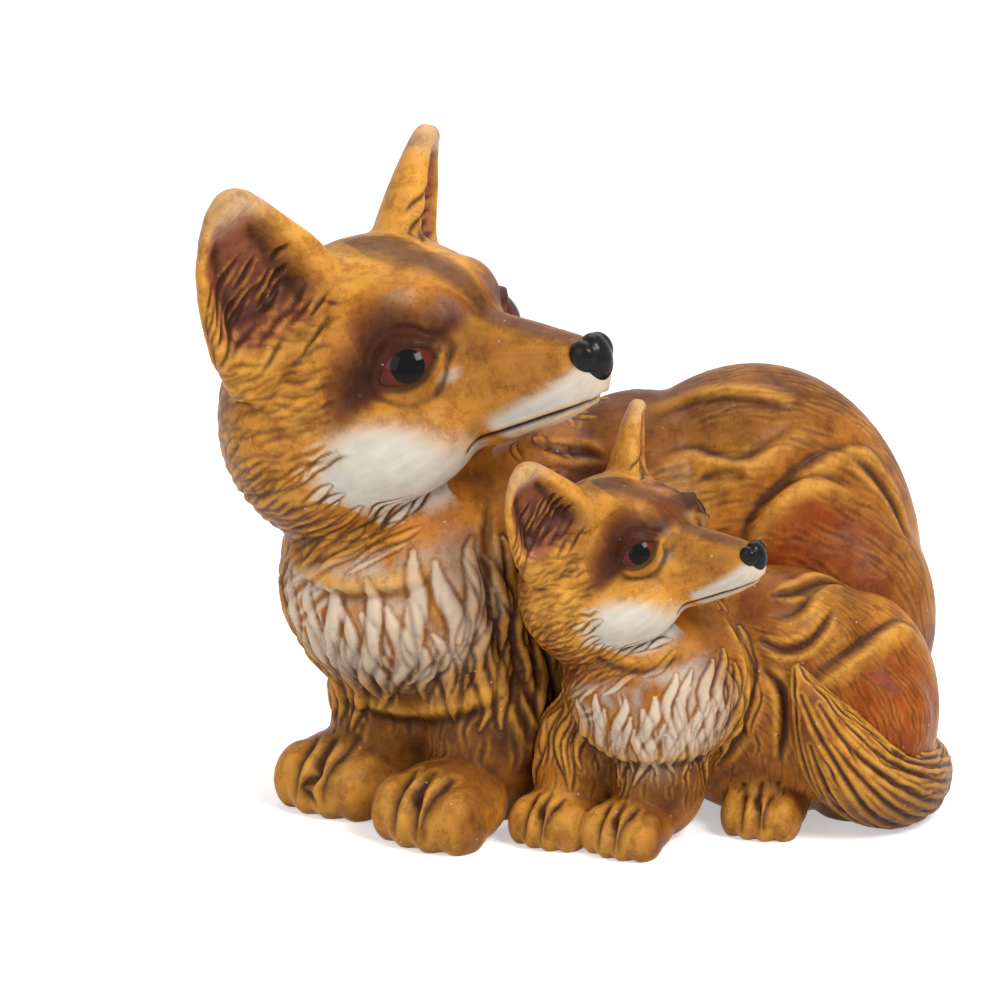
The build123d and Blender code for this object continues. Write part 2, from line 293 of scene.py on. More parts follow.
# each ear's foot, tip, facing, width and outer side; rings are share of the rise,
# half width, half depth and outward shift; the seam leans out from the skull
earForm = {
    "right": {
        "foot": (-3, -28.3, 21.7), "tip": (2.5, -41.3, 62.5), "front": (0.886, -0.393, -0.245), "width": 47, "outer": -1,
    },
    "left": {
        "foot": (-1.8, 27.6, 25.5), "tip": (5.3, 41.3, 54.8), "front": (0.86, 0.42, -0.30), "width": 41, "outer": 1,
    },
    "rings": [
        (-0.3, 0.5, 11, 0), (0, 0.5, 10.5, 0), (0.2, 0.46, 9.5, 0.01), (0.42, 0.40, 8.2, 0.025),
        (0.62, 0.32, 6.8, 0.035), (0.8, 0.23, 5.2, 0.025), (0.92, 0.15, 3.8, 0.01), (0.99, 0.06, 2.2, 0),
    ],
    "seamLean": 38.5, "seamOut": 31,
}
eyeForm = {
    "place": (31.0, -23.2, 3.0), "look": (0.64, -0.74, 0.17), "tilt": 13,
    "long": 9.6, "upper": 5.5, "lower": 4.7, "ball": 10.6, "sink": 8.5, "seat": 4.6,
    "lidThick": 1.3, "socketGap": 0.9, "blend": 8.0, "fold": 4.3,
}
mouthLine = [
    (35.5, -14.5, -24.5), (40, -13, -24.2), (47, -12, -23.5), (54, -11, -22.5),
    (61, -9.5, -21), (67, -7, -19.3), (72, -4, -17.6), (75, 0, -16.8),
]
# soft swells and dents of both sides of the head: place, radii, height
headPushes = [
    ((30, -17, 19), (9, 8, 6), 1.6),
    ((44, -11, 3), (8, 6, 8), -1.8),
    ((24, -30, -12), (9, 9, 7), -1.0),
]

# places from the fox's stand on the ground; balls are centre, half sizes and heading;
# tints are place, half sizes, paint and strength
foxes = {
    "vixen": {
        "stand": (-3.77, -2.57), "head": (-53.2, -8.04, 127.56), "axes": headAxes(40, 14.3, 8.7),
        "scale": 1.0, "voxel": 0.62, "eyeShift": (0, 0, 0),
        "trunk": {
            "nape": ((-42, 8, 96), (34, 32, 34), 0), "chest": ((-43, -8, 66), (39, 35, 37), 0),
            "shoulder": ((-12, 8, 50), (36, 34, 50), 0), "withers": ((-10, 14, 88), (24, 24, 19), 0),
            "middle": ((20, 20, 56), (42, 38, 55), 15),
            "haunch": ((52, 24, 56), (49, 38, 62), 0), "thigh": ((77, 8, 48), (27, 26, 36), 0),
            "rightLeg": ((-22, -20, 28), (20, 20, 32), 0), "leftLeg": ((-50, -6, 28), (18, 18, 30), 0),
        },
        "paws": {"right": ((-35.6, -42), 235), "left": ((-63.6, -14), 235)}, "paw": (18.5, 18, 12),
        "neck": ((-84, -8, 73), 21, 8), "spine": 25, "chestSeam": -12, "haunchSeam": 38, "legSeam": 36, "gap": (22.4, 143),
        "ruff": 104, "ruffHeart": (-60, -38, 66), "ruffReach": (40, 26, 30), "arc": (45, 40),
        "tints": [
            ((70, -10, 62), (28, 30, 32), "rust", 0.8), ((-2, -25, 60), (24, 30, 62), "dark", 0.75),
            ((20, 15, 104), (44, 44, 20), "brown", 0.6), ((42, 6, 116), (62, 40, 16), "dark", 0.4),
            ((88, -4, 56), (22, 30, 44), "brown", 0.5), ((-40, -30, 30), (50, 40, 22), "dark", 0.6),
            ((-60, 20, 90), (30, 30, 30), "brown", 0.5),
        ],
    },
    "cub": {
        "stand": (42.23, -30.57), "head": (-33.96, -10.01, 81.07), "axes": headAxes(40.2, 13.7, 14.0),
        "scale": 0.62, "voxel": 0.42, "eyeShift": (2.6, -0.3, 5.2),
        "trunk": {
            "chest": ((-22, -9, 44), (27, 23, 26), 0), "middle": ((10, 6, 36), (38, 24, 36), 0),
            "haunch": ((34, 8, 30), (23, 22, 34), 0), "thigh": ((38, -6, 32), (16, 12, 17), 0),
            "rightLeg": ((-22, -14, 20), (14, 13, 20), 0), "leftLeg": ((-44, -7, 20), (13, 12, 20), 0),
        },
        "paws": {"right": ((-30, -24), 240), "left": ((-50, -16), 240), "hind": ((8, -8), 250)}, "paw": (14, 12, 8.5),
        "neck": ((-47, -20, 54), 21, 8), "spine": 16, "chestSeam": -8.4, "haunchSeam": 24, "legSeam": 23, "gap": (28.3, 158),
        "hindSeam": 15,
        "ruff": 66, "ruffHeart": (-26, -30, 42), "ruffReach": (24, 18, 22), "arc": (28, 18),
        "tints": [
            ((44, -10, 36), (17, 18, 17), "rust", 0.7), ((-26, -24, 20), (26, 22, 10), "dark", 0.5),
            ((10, 0, 66), (30, 24, 12), "brown", 0.5), ((-40, 0, 20), (14, 20, 24), "dark", 0.5),
        ],
    },
}
for fox in foxes.values():
    fox["offset"] = np.array([*fox["stand"], 0.0])
    fox["origin"] = fox["offset"] + np.array(fox["head"])


def fromHead(fox, p):
    return fox["origin"] + (np.asarray(p, float) * fox["scale"]) @ fox["axes"]


def toHead(fox, p):
    return (p - fox["origin"]) @ fox["axes"].T / fox["scale"]


def earFrame(fox, side):
    e = earForm[side]
    foot, tip = fromHead(fox, e["foot"]), fromHead(fox, e["tip"])
    rise = tip - foot
    front = np.array(e["front"]) @ fox["axes"]
    front = unit(front - rise * (front @ rise) / (rise @ rise))
    wide = unit(np.cross(rise, front)) * e["width"] * fox["scale"]
    return foot, wide, rise, front


# the way out of the skull, square to an ear's seam
def earOutward(fox, side):
    lean = radians(earForm["seamLean"])
    return fox["axes"][1] * earForm[side]["outer"] * sin(lean) + fox["axes"][2] * cos(lean)


def addPaw(bm, fox, place, heading):
    length, width, height = fox["paw"]
    spot, axes = fox["offset"] + (*place, height * 0.76), turned(heading)
    addBall(bm, spot - axes[0] * 2 * fox["scale"], (length * 0.9, width * 0.95, height), axes)
    for across in (-0.62, -0.21, 0.21, 0.62):
        toe = spot + axes[0] * length * (0.45 - 0.35 * across ** 2) + axes[1] * width * across - (0, 0, height * 0.1)
        addBall(bm, toe, (length * 0.55, width * 0.33, height * 0.85), axes)


# all lumps of a fox, made into one closed skin
def foxBase(name, fox):
    bm = bmesh.new()
    s = fox["scale"]
    for place, halves, turn in headForms.values():
        axes = turned(turn) @ fox["axes"]
        addBall(bm, fromHead(fox, place), [h * s for h in halves], axes)
    left, up = fox["axes"][1:]
    addLoft(bm, [(fromHead(fox, (x, 0, z)), left * wide * s, up * high * s) for x, z, wide, high in muzzle])
    for side in ("right", "left"):
        foot, wide, rise, front = earFrame(fox, side)
        outer = earForm[side]["outer"]
        addLoft(bm, [(foot + rise * h + wide * out * outer, wide * w, front * d * s) for h, w, d, out in earForm["rings"]])
    for place, halves, turn in fox["trunk"].values():
        addBall(bm, fox["offset"] + place, halves, turned(turn))
    for place, heading in fox["paws"].values():
        addPaw(bm, fox, place, heading)
    clay = Clay(remeshed(bm, name, fox["voxel"]))
    print(name, "clay", len(clay.co), "points")
    return clay


# centre and rows long, up, look in head millimetres
def eyeAxes(fox, side):
    e = eyeForm
    look = unit(e["look"])
    up = unit(np.array([0, 0, 1.0]) - look * look[2])
    along = np.cross(up, look)
    tilt = radians(e["tilt"])
    rows = np.array([along * cos(tilt) + up * sin(tilt), up * cos(tilt) - along * sin(tilt), look])
    centre = np.array(e["place"]) + fox["eyeShift"]
    if side == "left":
        rows, centre = rows * (1, -1, 1), centre * (1, -1, 1)
    return centre, rows


# below 0 inside the almond of the open eye
def lidDistance(e):
    along, rise, long = np.abs(e[:, 0]), e[:, 1], eyeForm["long"]
    t = np.clip(along / long, 0, 1)
    edge = np.where(rise > 0, eyeForm["upper"], eyeForm["lower"]) * (1 - t ** 2.2)
    return np.where(along < long, (np.abs(rise) - edge) * 0.9, np.hypot(along - long, rise))


def shapeEyes(clay, fox):
    s = fox["scale"]
    clay.paint["lid"] = np.full(len(clay.co), 99.0)
    for side in ("right", "left"):
        centre, rows = eyeAxes(fox, side)
        h = toHead(fox, clay.co)
        e = (h - centre) @ rows.T
        near = np.nonzero((np.abs(e[:, 2]) < 16) & (np.hypot(e[:, 0], e[:, 1]) < 24))[0]
        e = e[near]
        d = lidDistance(e)
        ball, sink = eyeForm["ball"], eyeForm["sink"]
        reach = np.minimum(e[:, 0] ** 2 + e[:, 1] ** 2, (ball + 1) ** 2 * 0.9)
        lid = np.sqrt((ball + eyeForm["lidThick"]) ** 2 - reach) - sink
        hollow = np.sqrt(np.maximum((ball - eyeForm["socketGap"]) ** 2 - reach, 4)) - sink
        blend = 1 - smoothStep(0.5, eyeForm["blend"], d)
        height = e[:, 2] + (lid - e[:, 2]) * blend
        height = height + 0.7 * bump((d - 1.0) / 1.1) - 0.8 * bump((d - eyeForm["fold"]) / 1.3) * (e[:, 1] > -3)
        height = np.where(d < 0, lid + (hollow - lid) * smoothStep(0, -0.9, d), height)
        clay.co[near] += ((height - e[:, 2]) * s)[:, None] * (rows[2] @ fox["axes"])
        clay.paint["lid"][near] = np.minimum(clay.paint["lid"][near], d)


# a soft swell or dent at a place of both sides of the head, along the surface normal
def pushHead(clay, fox, place, radius, height):
    normals = clay.normals()
    h = toHead(fox, clay.co)
    for sign in (1, -1):
        d = np.linalg.norm((h - np.array(place) * (1, sign, 1)) / np.array(radius), axis=1)
        near = d < 2.5
        clay.co[near] += normals[near] * (height * fox["scale"] * bump(d[near]))[:, None]


# hollow of each ear, and the ear's own place for the paint
def shapeEars(clay, fox):
    clay.paint["earRise"] = np.full(len(clay.co), -9.0)
    clay.paint["earIn"] = np.zeros(len(clay.co))
    clay.paint["earSide"] = np.zeros(len(clay.co))
    for side in ("right", "left"):
        foot, wide, rise, front = earFrame(fox, side)
        basis = np.linalg.inv(np.array([wide, rise, front]))
        local = (clay.co - foot) @ basis
        across, up, depth = local.T
        heights, halves, depths, outs = np.array(earForm["rings"]).T
        across = across - np.interp(up, heights, outs) * earForm[side]["outer"]
        half = np.interp(up, heights, halves)
        thick = np.interp(up, heights, depths) * fox["scale"]
        share = across / np.maximum(half, 0.02)
        body = (up > -0.25) & (np.abs(share) < 1.25) & (np.abs(depth) < thick * 1.4) & (up < 1.1)
        faceOn = smoothStep(0.0, 0.35, depth / thick)
        inner = -earForm[side]["outer"] * share
        cup = 1 - smoothStep(0.35, 0.92, np.abs(inner + 0.1))
        cup = cup * smoothStep(-0.1, 0.2, up) * (1 - smoothStep(0.6, 0.96, up))
        sink = cup * faceOn * body * thick * 1.35
        clay.co -= front * sink[:, None]
        ids = np.nonzero(body)[0]
        clay.paint["earRise"][ids] = up[ids]
        clay.mark("earIn", ids, (cup * faceOn)[ids])
        clay.paint["earSide"][ids] = inner[ids]


# a cut with raised lips along a path; the deepest goes to clay.cut and the highest to clay.lift
def carve(clay, path, width, depth, ridge=0.0, taper=0.6, mark="grooveAndShade", strength=1.0):
    near, d, t = strokeDistance(clay, path, width * 3)
    if not len(near):
        return
    ends = np.clip(np.sin(pi * np.clip(t, 0.02, 0.98)), 0, 1) ** taper
    w = width * (0.35 + 0.65 * ends)
    cut = bump(d / w) * ends
    clay.cut[near] = np.minimum(clay.cut[near], -depth * cut)
    if ridge:
        lips = bump((d - 1.9 * w) / w) * ends
        clay.lift[near] = np.maximum(clay.lift[near], ridge * lips)
        clay.mark("ridge", near, lips * strength)
    clay.mark(mark, near, cut * strength)


# raises the form on the right of a path over the one on its left, with painted shade in the crease at its foot and a
# painted highlight along its raised side
def overlap(clay, path, reach, height):
    near, d, t = strokeDistance(clay, path, reach)
    if not len(near):
        return
    path = np.asarray(path, float)
    way = np.gradient(path, axis=0)
    place = t * (len(path) - 1)
    on = np.stack([np.interp(place, range(len(path)), path[:, k]) for k in range(3)], 1)
    along = np.stack([np.interp(place, range(len(path)), way[:, k]) for k in range(3)], 1)
    normals = clay.normals()[near]
    across = np.cross(normals, along)
    side = -((clay.co[near] - on) * across).sum(1) / np.maximum(np.linalg.norm(across, axis=1), 1e-6)
    ends = np.sin(pi * np.clip(t, 0.01, 0.99)) ** 0.7
    fade = 1 - smoothStep(0, reach, d)
    step = np.where(side > 0, smoothStep(-0.3, 2.0, side) * fade, -0.7 * smoothStep(0.4, -1.2, side) * fade ** 2.5)
    clay.co[near] += normals * (height * step * ends)[:, None]
    # painted shade: dark in the crease at the foot of the upper form
    dark = bump((side + 1.0) / 1.5) * fade * ends
    clay.mark("grooveAndShade", near, dark)
    # painted highlight along the raised side of the upper form
    lit = bump((side - 3.0) / 2.5) * fade * ends
    clay.mark("lit", near, lit)


# a raised lock of fur, pointed at its end, with a cut on both sides
def lock(clay, path, width, height, depth):
    near, d, t = strokeDistance(clay, path, width * 2.2)
    if not len(near):
        return
    w = width * (np.sin(pi * np.clip(t, 0.03, 0.985) ** 0.8) ** 0.7 * 0.9 + 0.1)
    body = np.clip(1 - (d / w) ** 2, 0, 1)
    rim = bump((d - w * 1.05) / (0.28 * width)) * np.sin(pi * np.clip(t, 0.05, 0.97)) ** 0.5
    clay.cut[near] = np.minimum(clay.cut[near], -depth * rim)
    clay.lift[near] = np.maximum(clay.lift[near], height * body)
    clay.mark("ridge", near, body)
    clay.mark("grooveAndShade", near, rim)


# moves the clay by its cuts and lifts
def settle(clay, rounds=1):
    clay.co += clay.normals() * (clay.cut + clay.lift * smoothStep(-0.8, -0.1, clay.cut))[:, None]
    clay.cut[:] = clay.lift[:] = 0
    clay.relax(rounds, 0.5)


def photoRay(u, v):
    pixel = camera["mmPerPixel"]
    ray = lookDir * camera["distance"] + np.array([1.0, 0, 0]) * (u - 500) * pixel + lookUp * (500 - v) * pixel
    return unit(ray)


# a path laid on the front of the surface through points of the camera's view
def viewPath(tree, points, steps=4):
    points = np.asarray(points, float)
    fine = []
    for k in range(len(points) - 1):
        p0, p1 = points[max(k - 1, 0)], points[k]
        p2, p3 = points[k + 1], points[min(k + 2, len(points) - 1)]
        for j in range(steps):
            t = j / steps
            bend = 2 * p1 + (p2 - p0) * t
            bend = bend + (2 * p0 - 5 * p1 + 4 * p2 - p3) * t * t + (3 * p1 - p0 - 3 * p2 + p3) * t ** 3
            fine.append(0.5 * bend)
    fine.append(points[-1])
    path = []
    for u, v in fine:
        spot = tree.ray_cast(Vector(cameraSpot), Vector(photoRay(u, v)))[0]
        if spot is not None:
            path.append(np.array(spot))
    return path


def headPath(tree, fox, points):
    return [onSkin(tree, fromHead(fox, p)) for p in points]


# rounds of smoothing where the lumps meet, and how much of it each zone is spared
smoothing = {"rounds": 130, "roundsAfter": 4, "head": 0.75, "toes": 0.9, "ears": 0.97}


def sculptFox(name, fox):
    clay = foxBase(name, fox)
    s = fox["scale"]
    h = toHead(fox, clay.co)
    stand = clay.co - fox["offset"]
    earZone = np.zeros(len(clay.co))
    for side in ("right", "left"):
        foot, wide, rise, front = earFrame(fox, side)
        up = ((clay.co - foot) @ np.linalg.inv(np.array([wide, rise, front])))[:, 1]
        outward = earOutward(fox, side)
        earZone = np.maximum(earZone, smoothStep(36 * s, 42 * s, (clay.co - fox["origin"]) @ outward) * (up > 0))
    headZone = smoothStep(-46, -36, h[:, 2]) * (np.linalg.norm(h, axis=1) < 95)
    toeZone = 1 - smoothStep(18 * s, 28 * s, stand[:, 2])
    rounds = int(smoothing["rounds"] / coarse ** 2)
    softness = (1 - smoothing["head"] * headZone) * (1 - smoothing["toes"] * toeZone) * (1 - smoothing["ears"] * earZone)
    clay.relax(rounds, softness)
    for place, radius, height in headPushes:
        pushHead(clay, fox, place, radius, height)
    clay.relax(smoothing["roundsAfter"], 1 - 0.8 * earZone)
    shapeEyes(clay, fox)
    shapeEars(clay, fox)
    clay.relax(1, 0.5)
    tree = clay.tree()
    path = headPath(tree, fox, mouthLine + [(x, -y, z) for x, y, z in mouthLine[-2::-1]])
    carve(clay, path, 0.95 * s, 1.7 * s, 0.35 * s, 0.15, "mouth")
    settle(clay)
    print(name, "formed")
    return clay


# a point of the camera's view at a depth
def atDepth(u, v, y):
    ray = photoRay(u, v)
    return cameraSpot + ray * (y - cameraSpot[1]) / ray[1]


# strokes of fur by area: seed, count, spacing, length, width, height, depth, wave, kind
strokes = {
    "cheek": (5, 170, 3.4, 16, 1.5, 0.38, 0.6, 0.22, "lock"),
    "skull": (6, 330, 2.7, 12, 0.8, 0.12, 0.42, 0.35, "cut"),
    "neck": (7, 120, 5.0, 20, 0.95, 0.15, 0.55, 0.25, "cut"),
    "ear": (8, 26, 3.2, 15, 0.8, 0.3, 0.7, 0.2, "cut"),
    "ruff": (11, 84, 6.4, 30, 2.9, 1.0, 0.7, 0.45, "lock"),
    "ruffCuts": (12, 60, 6.0, 16, 0.8, 0.1, 0.4, 0.5, "cut"),
    "coat": (13, 480, 4.0, 17, 0.65, 0.04, 0.14, 0.25, "cut"),
    "legs": (15, 60, 6, 11, 0.8, 0.06, 0.16, 0.3, "cut"),
    "tail": (42, 90, 4.5, 20, 0.9, 0.2, 0.7, 0.25, "cut"),
}


# combs an area's strokes over the masked surface, along the flow
def comb(clay, fox, area, mask, flow):
    seed, count, spacing, length, width, height, depth, wave, kind = strokes[area]
    rng = np.random.default_rng(seed)
    s = fox["scale"]
    clay.order = np.argsort(clay.co[:, 0])
    clay.sortedX = clay.co[clay.order, 0]
    for spot in scatter(clay, mask, spacing * s, rng, int(count / coarse)):
        size = rng.uniform(0.7, 1.25)
        path = traceHair(clay.combTree, spot, flow, length * s * size, 7, wave * rng.uniform(0.3, 1.4), rng)
        if len(path) < 4:
            continue
        if kind == "lock":
            lock(clay, path, width * s * rng.uniform(0.75, 1.2), height * s * size, depth * s)
        else:
            carve(clay, path, width * s, depth * s, height * s, 0.7, "grooveAndShade", min(1, depth + 0.25))
    clay.order = None
    settle(clay)


def arcFlow(centre):
    cx, cz = centre
    return lambda p: (p[2] - cz, 0.15 * (p[2] - cz), -(p[0] - cx))


# folds of the coat, as points of the camera's view: width, depth, lip, points
folds = {
    "vixen": [
        (1.8, 1.4, 0.6, [(700, 480), (725, 472), (745, 478)]),
        (1.8, 1.2, 0.6, [(535, 442), (560, 450), (585, 452), (602, 458)]),
        (1.8, 1.2, 0.6, [(840, 450), (870, 470), (892, 500), (908, 540)]),
        (2.0, 1.5, 0.6, [(488, 500), (486, 560), (494, 620), (512, 680), (530, 740)]),
        (1.6, 1.2, 0.6, [(516, 590), (512, 640), (526, 690), (548, 730)]),
    ],
    "cub": [
        (1.6, 1.4, 0.7, [(775, 595), (800, 590), (822, 580), (842, 584)]),
        (1.4, 1.2, 0.5, [(760, 640), (785, 650), (812, 640), (832, 612)]),
        (1.4, 1.2, 0.5, [(765, 670), (782, 690), (786, 720), (780, 760)]),
        (1.6, 1.4, 0.6, [(728, 620), (744, 650), (750, 690), (742, 730), (720, 765)]),
    ],
}


# edges of forms that lie over others: reach, height, points
overlaps = {
    "vixen": [
        (15, 2.6, [(742, 560), (750, 528), (770, 500), (795, 484), (826, 480), (862, 492)]),
        (10, 1.5, [(764, 512), (784, 488), (808, 466), (840, 450), (880, 446)]),
        (9, 1.4, [(655, 462), (690, 450), (715, 458), (742, 462), (770, 446), (800, 424)]),
        (9, 1.3, [(796, 410), (765, 400), (730, 396), (695, 400), (652, 418)]),
        (14, 2.0, [(520, 660), (494, 700), (446, 716), (398, 716), (350, 702), (318, 680), (296, 640)]),
        (12, 2.0, [(440, 570), (400, 590), (345, 592), (306, 580), (280, 560), (258, 530)]),
    ],
    "cub": [
        (12, 2.2, [(806, 688), (832, 668), (858, 650), (880, 632), (902, 622), (922, 640)]),
        (8, 1.3, [(772, 622), (796, 616), (816, 596), (836, 584)]),
        (9, 1.4, [(748, 722), (700, 756), (646, 764), (606, 752), (582, 732), (566, 700)]),
        (7, 1.1, [(680, 652), (650, 668), (616, 664), (590, 650)]),
        (8, 1.2, [(728, 618), (746, 650), (752, 692), (742, 734)]),
    ],
}


# grooves between the toes, from the front of the paw up over its back
def cutToes(clay, fox, tree):
    s = fox["scale"]
    length, width, height = fox["paw"]
    for place, heading in fox["paws"].values():
        spot, axes = fox["offset"] + (*place, height * 0.7), turned(heading)
        for across in (-0.4, 0.0, 0.4):
            path = []
            for f, u in ((1.2, -0.5), (1.22, 0.1), (1.0, 0.6), (0.7, 0.95), (0.3, 1.1)):
                target = spot + axes[0] * length * f + axes[1] * width * across + (0, 0, height * u)
                path.append(onSkin(tree, target))
            carve(clay, path, 1.6 * s + 0.3, 2.2 * s, 0.4 * s, 0.35)
    settle(clay)


def combHead(clay, fox, h, inHead):
    x, z = h[:, 0], h[:, 2]
    side = np.abs(h[:, 1])
    offEar = clay.paint["earRise"] < 0
    cheekFlow = lambda p: (np.array([-1.0, 0.25 * np.sign((toHead(fox, p))[1]), -0.42])) @ fox["axes"]
    headFlow = lambda p: (np.array([-1.0, 0.1 * np.sign((toHead(fox, p))[1]), -0.1])) @ fox["axes"]
    mask = np.maximum(smoothStep(16, 4, x), smoothStep(-30, -36, z) * (x < 30))
    mask = mask * smoothStep(-4, -14, z) * (z > -46) * (side > 14) * offEar
    comb(clay, fox, "cheek", mask, cheekFlow)
    offEar = clay.paint["earRise"] < 0.02
    mask = smoothStep(20, 8, x) * smoothStep(-20, -10, z) * inHead * (clay.paint["lid"] > 10) * (side > 12) * offEar
    comb(clay, fox, "skull", mask, headFlow)
    comb(clay, fox, "neck", smoothStep(2, -10, x) * inHead * (z < -18), cheekFlow)
    for ear in ("right", "left"):
        foot, wide, rise, front = earFrame(fox, ear)
        mask = (clay.paint["earIn"] > 0.15) * (clay.paint["earRise"] < 0.55) * ((clay.co - foot) @ unit(wide) ** 2 < 900)
        mask = mask * (h[:, 1] * earForm[ear]["outer"] > 0)
        comb(clay, fox, "ear", mask, lambda p: -wide * 0.8 - rise * 0.5)


def furFox(name, clay, fox):
    s = fox["scale"]
    q = clay.co - fox["offset"]
    h = toHead(fox, clay.co)
    inHead = smoothStep(-56, -46, h[:, 2]) * (np.linalg.norm(h, axis=1) < 90)
    back = 1 - inHead
    along = q @ ground(fox["spine"])
    frontness = smoothStep(fox["chestSeam"] + 18 * s, fox["chestSeam"] - 8 * s, along) * back
    tree = clay.tree()
    for width, depth, lip, points in folds[name]:
        path = viewPath(tree, points)
        if len(path) > 2:
            carve(clay, path, width, depth, lip, 0.5)
    for reach, height, points in overlaps[name]:
        path = viewPath(tree, points)
        if len(path) > 2:
            overlap(clay, path, reach, height)
    settle(clay, 2)
    clay.combTree = clay.tree()
    cutToes(clay, fox, clay.combTree)
    combHead(clay, fox, h, inHead)
    high, ruff = q[:, 2], fox["ruff"]
    chestFlow = lambda p: (0.15 * sin(p[2] * 0.12), 0.12 * sin(p[2] * 0.1), -1.0)
    mask = frontness * smoothStep(0.34, 0.46, high / ruff) * (high < ruff)
    comb(clay, fox, "ruff", mask * (high > 0.5 * ruff), chestFlow)
    comb(clay, fox, "ruffCuts", mask, chestFlow)
    comb(clay, fox, "coat", (1 - frontness) * back * smoothStep(6, 16, high), arcFlow(fox["arc"]))
    mask = frontness * (high < ruff * 0.4) * smoothStep(24 * s, 32 * s, high)
    comb(clay, fox, "legs", mask, lambda p: (0.0, 0.0, -1.0))
    # fine brushwork in the surface
    fine = fractal(np.stack([clay.co[:, 0] / 2.2, clay.co[:, 1] / 2.2, clay.co[:, 2] / 3.5], 1), 1.0, 31, 2)
    clay.co += clay.normals() * (fine * 0.10 * s * (clay.paint["lid"] > 2))[:, None]
    clay.co[:, 2] = np.maximum(clay.co[:, 2], 0)
    print(name, "combed")


# paint of the head in its own millimetres; the tables are places forward, or up for the
# cheek, and what they give there: half width of the stripe, heights of the lip's edges,
# reach of head paint from its axis and of the cheek's to the side
stripeWidth = ([-5, 8, 20, 34, 46, 60, 76], [11, 8.5, 6, 4.8, 4.3, 3.9, 3])
lipTop = ([40, 52, 63, 71, 78], [-18, -14.5, -11.5, -8.5, -5])
lipLine = ([36, 47, 61, 72, 78], [-24.3, -23.5, -21, -17.6, -16.5])
headReach = ([10, 34, 48, 80], [75, 40, 25, 16])
cheekReach = ([-42, -30, -20], [24, 36, 50])
# white cheek: forward, up and half sizes
cheekForm = (20, -24, 19, 16.5)
# painted highlights, pale spots at the stop and on the brow: place, half sizes, core, strength
highlightSpots = [((37, 9, 14), (8, 3, 5), 0.4, 0.5), ((29, 17, 20), (6, 6, 4), 0.3, 0.35)]
# brown shades of both sides of the head: place, half sizes, strength
headShades = [
    ((-2, 34, 20), (16, 14, 12), 0.8), ((-28, 20, 5), (22, 36, 26), 0.6), ((-18, 38, -34), (20, 16, 16), 0.6),
    ((44, 9, 4), (12, 6, 9), 0.5), ((57, 10, -3), (20, 10, 9), 0.35),
]


def rgb(r, g, b):
    c = np.array([r, g, b]) / 255.0
    return np.where(c < 0.04045, c / 12.92, ((c + 0.055) / 1.055) ** 2.4)


paints = {
    "ochre": rgb(190, 120, 42), "gold": rgb(222, 160, 68), "brown": rgb(116, 62, 30),
    "dark": rgb(62, 33, 22), "cream": rgb(209, 203, 191), "rust": rgb(140, 52, 14),
    "pink": rgb(156, 88, 66), "plum": rgb(84, 46, 40), "black": rgb(22, 14, 12),
}


# lays a paint over the colours so far
def layer(colour, paint, amount):
    colour += (paints[paint] - colour) * np.clip(amount, 0, 1)[:, None]


# how far points lie from a place, 1 on the ellipsoid of these half sizes
def within(p, place, halves):
    return np.linalg.norm((p - np.array(place)) / np.array(halves), axis=1)


# a soft patch: 1 inside the lower limit and 0 outside the higher, as shares of its half sizes
def patch(p, place, halves, low, high, ragged=0):
    return 1 - smoothStep(low, high, within(p, place, halves) + ragged)


# stripe, shades, cheeks, lips and painted highlights at the stop and brows; h is the head's own place of each point
def paintHead(clay, colour, h, inHead, streak, dab, fine):
    x, y, z = h.T
    ay = np.abs(y)
    mirrored = np.stack([x, ay, z], 1)
    wide = np.interp(x, *stripeWidth)
    stripe = (1 - smoothStep(0.3, 1.7, ay / wide + 0.14 * streak)) * smoothStep(-14, 6, x) * (z > -8)
    layer(colour, "brown", stripe * inHead * 0.6)
    layer(colour, "dark", stripe * inHead * 0.6)
    for spot, reach, amount in headShades:
        layer(colour, "brown", patch(mirrored, spot, reach, 0.4, 1.2, 0.2 * dab) * inHead * amount)
    # white cheek with a ragged rear edge
    tips = smoothStep(26, 14, x) * (0.5 * clay.paint["grooveAndShade"] - 0.32 * clay.paint["ridge"] + 0.12 * streak)
    cheek = np.hypot((x - cheekForm[0]) / cheekForm[2], (z - cheekForm[1]) / cheekForm[3]) + tips
    cheek = (1 - smoothStep(0.66, 1.14, cheek)) * (ay > 8) * (ay < np.interp(z, *cheekReach))
    cheek *= np.where(y > 0, smoothStep(-35, -29, z), smoothStep(-45, -39, z))
    layer(colour, "cream", cheek * inHead * 0.96)
    top = np.interp(x, *lipTop)
    line = np.interp(x, *lipLine)
    lips = smoothStep(2.5, -2.5, z - top + 0.6 * fine) * smoothStep(-1.5, 0.2, z - line) * smoothStep(42, 47, x)
    chin = smoothStep(0.5, -0.5, z - line) * smoothStep(46, 62, x) * 0.8
    layer(colour, "cream", np.maximum(lips, chin) * (ay < 18) * inHead * 0.95)
    # painted highlights: pale spots at the stop and on the brow
    for place, halves, core, amount in highlightSpots:
        layer(colour, "cream", patch(mirrored, place, halves, core, 1.2) * amount)


